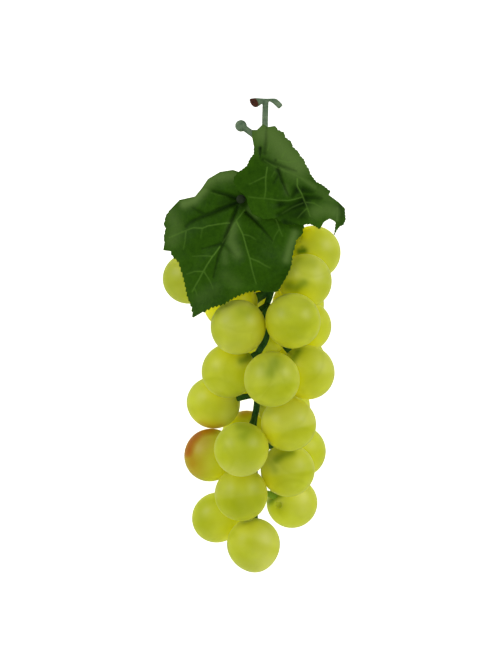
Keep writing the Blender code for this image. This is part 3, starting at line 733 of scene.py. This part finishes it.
FRONT_VEINS = [
    ([(244, 210), (237, 220), (229, 233), (222, 243)], 0.55),
    ([(219.5, 246.6), (213, 256), (208, 264), (204, 271), (199, 280), (194, 288), (192, 292)], 1.0),
    ([(212, 256.5), (200, 256), (192, 256)], 0.5),
    ([(203, 271.5), (195, 271), (187, 274)], 0.6),
    ([(204.5, 272), (209, 280), (213, 288)], 0.6),
    ([(194, 288), (197, 296)], 0.4),
    ([(237, 221.5), (242.5, 233), (246, 247), (250, 259), (253, 272), (256, 284)], 0.9),
    ([(242.5, 234), (250, 236), (256, 240)], 0.5),
    ([(250, 258), (258, 261), (266, 266), (270, 268)], 0.65),
    ([(275.5, 219), (279, 228), (283, 236.5)], 0.55),
    ([(279.5, 229), (275, 236), (273, 243)], 0.35),
    ([(230, 223), (218, 224.5), (208, 225.5), (202, 228), (193, 228), (178.5, 233.5), (169, 237.5)], 0.75),
    ([(186, 231), (185.5, 241), (183, 249)], 0.5),
    ([(211, 193), (219, 195), (226, 196)], 0.35),
    ([(202, 228), (201, 238)], 0.3),
]
FRONT_LIT_PATCHES = [
    ([(205, 184), (215, 177), (233, 175)], 6.5, 0.75),
    ([(184, 204), (194, 200), (204, 190)], 5.0, 0.85),
    ([(170, 214), (176, 225), (172, 240)], 8.0, 0.35),
    ([(233, 226), (231, 240), (237, 254)], 5.5, 0.55),
    ([(225, 252), (225, 262)], 4.0, 0.30),
    ([(295, 233), (289.5, 248), (286.5, 260)], 4.0, 0.68),
    ([(250, 208), (256, 216)], 4.0, 0.40),
    ([(226, 276), (236, 284)], 7.0, 0.22),
    ([(200, 298), (215, 290)], 7.0, 0.16),
]

TOP_GROOVES = [
    ([(260.3, 148), (260, 158)], 0.4, 0.4, 0.70, 1.0),
    ([(264.5, 153), (266, 140), (266.5, 127)], 0.3, 0.3, 0.85, 0.50),
    ([(263, 159.5), (270, 161.5), (280, 165), (296, 171)], 0.5, 0.3, 1.0, 0.60),
    ([(278, 169), (281, 178), (285, 188), (289, 196)], 1.0, 0.4, 0.75, 0.8),
    ([(280, 173), (276, 179), (273, 184)], 0.6, 0.3, 0.7, 0.6),
    ([(275.5, 160), (276, 166)], 0.3, 0.3, 0.5, 0.5),
    ([(303, 202), (292, 208), (279, 215)], 1.6, 0.8, 2.4, 1.0),
    ([(300, 214), (284, 217)], 0.4, 0.3, 3.0, 0.80),
    ([(297, 190), (292, 197)], 0.9, 0.5, 1.5, 0.9),
    ([(303, 190), (313, 192)], 0.8, 0.3, 1.2, 0.8),
    ([(280, 204.5), (292, 204)], 0.8, 0.4, 1.3, 0.85),
    ([(305, 198), (321, 198)], 0.8, 0.4, 1.2, 0.8),
    ([(285, 222), (298, 225)], 0.3, 0.2, 1.6, 0.8),
    ([(341, 206), (342.5, 214), (341, 223)], 0.1, 0.1, 1.1, 0.5),
]
TOP_VEINS = [
    ([(267, 167), (266, 180), (265.5, 190), (264, 199)], 0.75),
    ([(266, 177), (257, 180.5), (249, 184)], 0.5),
    ([(297, 179), (297.5, 186), (302, 194), (304, 200), (307, 208), (310, 216)], 0.9),
    ([(303, 197), (290, 200), (277, 200.5), (262, 198), (249, 197)], 0.6),
    ([(306, 202.5), (314, 203), (322, 207.5)], 0.5),
    ([(307, 208), (302, 213), (298, 218)], 0.5),
    ([(303, 203), (292, 207), (282, 213)], 0.35),
    ([(264, 160), (272, 165), (285, 171), (300, 178), (312, 186)], 0.30),
    ([(268, 150), (270, 143)], 0.40),
    ([(281, 158), (285, 151)], 0.40),
    ([(278, 160), (288, 162.5), (298, 161)], 0.40),
    ([(275, 171), (272, 177)], 0.35),
]
TOP_LIT_PATCHES = [
    ([(262, 133), (272, 135), (285, 152), (298, 166)], 14.0, 0.72),
    ([(280, 168), (300, 177), (315, 187)], 3.2, 0.45),
    ([(316, 212), (326, 210), (334, 212)], 8.0, 0.50),
    ([(337.5, 208), (337, 220)], 1.6, 0.55),
    ([(320, 190), (330, 200)], 6.0, 0.30),
    ([(286, 185), (287, 193)], 3.5, 0.25),
]
TOP_BULGES = [((262.8, 158), 6.5, 0.75)]


def add_leaf(name, edge, zones, height, grapes, grooves, veins, lit_patches, bulges, finish):
    """One blade: its outline from the photo, its form from the part, and its own fine relief."""
    flat, faces = leaf_plan(placed(toothed(edge, zones), height, grapes))
    z = height(flat[:, 0], flat[:, 1], grapes) + CAD_BLADE / 2.0
    seen = to_photo(np.column_stack([flat, z]))
    # dark holds the painted shade in the grooves.
    dark = np.zeros(len(flat))
    drop = np.zeros(len(flat))
    nearest = np.full(len(flat), np.inf)
    for route, deep, shallow, width, darkness in grooves:
        gap, share = along_route(seen, route)
        gap = gap * PIXEL / MM
        line = bell(gap, width * (1.25 - 0.7 * share))
        drop = np.maximum(drop, (deep + (shallow - deep) * share) * line)
        dark = np.maximum(dark, darkness * (1.0 - 0.5 * share) * line)
        nearest = np.minimum(nearest, gap)
    puckered = PUCKER * (1.0 - bell(nearest, PUCKER_REACH))
    # The cloth waves a little everywhere, in millimetres, and its veins wander, in pixels.
    ripple = 0.16 * np.sin(seen[:, 0] / 5.3 + 1.3 * np.sin(seen[:, 1] / 7.1))
    ripple = ripple * np.cos(seen[:, 1] / 6.1 + 0.7)
    for place, reach, rise in bulges:
        ripple = ripple + rise * bell(np.linalg.norm(seen - np.array(place, float), axis=1), reach)
    z = z + (puckered - PUCKER / 2.0 + ripple - drop) * MM
    vein = np.zeros(len(flat))
    wander = 0.35 * np.sin(seen[:, ::-1] / 5.1 + 2.0 * np.sin(seen / 11.3))
    for route, strength in veins:
        gap, share = along_route(seen + wander, route)
        vein = np.maximum(vein, strength * (0.9 - 0.45 * share) * bell(gap, VEIN_WIDTH))
    count = len(flat)
    over = np.column_stack([flat, z + BLADE / 2.0])
    under = np.column_stack([flat, z - BLADE / 2.0])
    # A side that no face runs along the other way is on the rim. A dict keeps them in order.
    sides = {(a, b): True for face in faces for a, b in zip(face, (*face[1:], face[0]))}
    walls = [(b, a, a + count, b + count) for a, b in sides if (b, a) not in sides]
    turned = [tuple(index + count for index in reversed(face)) for face in faces]
    made = mesh_object(name, np.vstack([over, under]), [*faces, *turned, *walls], finish)
    both = np.ones(2)
    paint(made, "groove_shade", np.kron(both, dark))
    paint(made, "vein", np.kron(both, vein))
    # Painted light and sheen on lit places.
    paint(made, "lit_patches", np.kron(both, strongest(seen, lit_patches)))
    paint(made, "under", np.repeat([0.0, 1.0], count))
    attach(made, "root")
    return made


# Stem


# Ends of the cane stub, in the part's own millimetres.
CANE_START = (5.6, 107.9, 42.4)
CANE_END = (-0.7, 103.2, 47.0)
CUT_RADIUS = 3.2 * MM
# The stem turns from dark to dusty between these two places on Y.
FREE_END = (76.0 * MM, 90.0 * MM)
# In the photo's pixels: the button on the front leaf, and a peg that is painted lighter and yellow-green,
# as if lit through a grape's skin.
BUTTON = [(240, 202), (241, 200)]
BUTTON_LEVEL = 45.0 * MM
VEILED_PEG = [(266, 493), (285, 509)]


def add_stem(finish, grapes):
    """The CAD stem's own form, remeshed finely so that its tubes are round and flow together."""
    made = bpy.data.objects.new("stem_moulded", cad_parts["stem"].data.copy())
    bpy.context.scene.collection.objects.link(made)
    fuse = made.modifiers.new("fuse", "REMESH")
    fuse.mode = "VOXEL"
    fuse.voxel_size = 0.32 * MM
    soften = made.modifiers.new("soften", "SMOOTH")
    soften.factor = 0.5
    soften.iterations = 8
    swell = made.modifiers.new("swell", "DISPLACE")
    swell.strength = 0.20 * MM
    swell.mid_level = 0.0
    bpy.context.view_layer.update()
    graph = bpy.context.evaluated_depsgraph_get()
    fine = bpy.data.meshes.new_from_object(made.evaluated_get(graph))
    made.modifiers.clear()
    made.data = fine
    fine.name = "stem_moulded"
    fine.shade_smooth()
    fine.materials.clear()
    fine.materials.append(finish)
    points = np.zeros(len(fine.vertices) * 3)
    fine.vertices.foreach_get("co", points)
    points = points.reshape(-1, 3)
    paint(made, "free_end", smoothstep(points[:, 1], *FREE_END))
    to_skin = [np.linalg.norm(points - centre, axis=1) - radius for centre, radius, _ in grapes]
    paint(made, "peg_end", smoothstep(-np.min(to_skin, axis=0), -5.0 * MM, 0.5 * MM))
    cane_start, cane_end = (np.array(end) * MM + (*SHIFT, 0.0) for end in (CANE_START, CANE_END))
    way = (cane_end - cane_start) / np.linalg.norm(cane_end - cane_start)
    run = (points - cane_end) @ way
    across = np.linalg.norm(points - cane_end - run[:, None] * way, axis=1)
    near = (run < 0.7 * MM) & (across < CUT_RADIUS)
    paint(made, "cut_end", smoothstep(run, -0.7 * MM, -0.2 * MM) * near)
    gap, _ = along_route(to_photo(points), BUTTON)
    paint(made, "button", smoothstep(-gap, -8.0, -6.0) * (points[:, 2] > BUTTON_LEVEL))
    # A peg painted lighter and yellow-green, as if lit through a grape's skin.
    gap, _ = along_route(to_photo(points), VEILED_PEG)
    paint(made, "veiled_and_lit", 0.85 * smoothstep(-gap, -9.0, -4.0))
    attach(made, "root")
    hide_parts("stem")


# Studio


FLOOR_HALF = 1.5
FLOOR_LEVEL = -0.05 * MM  # just under the part, so that the two don't coincide


def add_floor(finish):
    """A pale floor that glossy skins don't mirror."""
    half = FLOOR_HALF
    corners = [(-half, -half, 0.0), (half, -half, 0.0), (half, half, 0.0), (-half, half, 0.0)]
    made = mesh_object("floor", corners, [(0, 1, 2, 3)], finish, smooth=False)
    made.location.z = FLOOR_LEVEL
    made.visible_glossy = False


def add_light(name, way, distance, size, watts, fill=False):
    """A soft box. A fill throws no shadow and no highlight."""
    data = bpy.data.lights.new(name, "AREA")
    data.shape = "RECTANGLE"
    data.size, data.size_y = size
    data.energy = watts
    data.use_shadow = not fill
    lamp = bpy.data.objects.new(name, data)
    lamp.visible_glossy = not fill
    bpy.context.scene.collection.objects.link(lamp)
    way = Vector(way).normalized()
    lamp.location = way * distance + Vector((0.0, 0.0, PLANE))
    lamp.rotation_euler = way.to_track_quat("Z", "Y").to_euler()


def add_studio():
    add_floor(floor_material())
    add_light("left_box", (-0.77, 0.43, 0.47), 1.0, (0.45, 0.55), 2.15)
    add_light("right_box", (0.77, 0.43, 0.47), 1.0, (0.45, 0.55), 2.15)
    add_light("front_box", (0.0, -0.55, 0.85), 1.3, (0.9, 0.6), 0.9)
    add_light("fill_box", (0.0, -0.35, 0.94), 1.3, (0.8, 0.8), 6.4, fill=True)
    world = bpy.data.worlds.new("studio")
    bpy.context.scene.world = world
    world.use_nodes = True
    back = world.node_tree.nodes["Background"]
    back.inputs["Color"].default_value = (1.0, 1.0, 1.0, 1.0)
    back.inputs["Strength"].default_value = 0.25
    bpy.context.scene.view_settings.view_transform = "Standard"
    bpy.context.scene.view_settings.look = "None"


def add_camera():
    """Looks straight down, through a lens by which one pixel covers PIXEL at PLANE."""
    data = bpy.data.cameras.new("camera")
    camera = bpy.data.objects.new("camera", data)
    bpy.context.scene.collection.objects.link(camera)
    camera.location = (CAMERA_PLACE[0], CAMERA_PLACE[1], PLANE + CAMERA_RISE)
    data.sensor_fit = "AUTO"
    data.sensor_width = SENSOR
    data.lens = SENSOR * CAMERA_RISE / (PHOTO_SIZE[1] * PIXEL)
    data.clip_start = 0.01
    data.clip_end = 20.0
    bpy.context.scene.camera = camera


def build():
    add_camera()
    add_studio()
    skin = grape_material()
    grapes = [grape_form(name) for name in GRAPE_NAMES]
    for number, name in enumerate(GRAPE_NAMES, start=1):
        add_grape(name, skin, number, grapes)
    cloth = leaf_material()
    front = add_leaf(
        "front_leaf", FRONT_EDGE, FRONT_TEETH, front_height, grapes,
        FRONT_GROOVES, FRONT_VEINS, FRONT_LIT_PATCHES, [], cloth,
    )
    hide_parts("leaf_front")
    top = add_leaf(
        "top_leaf", TOP_EDGE, TOP_TEETH, top_height, grapes,
        TOP_GROOVES, TOP_VEINS, TOP_LIT_PATCHES, TOP_BULGES, cloth,
    )
    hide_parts("leaf_top")
    add_stem(stem_material(), grapes)


build()
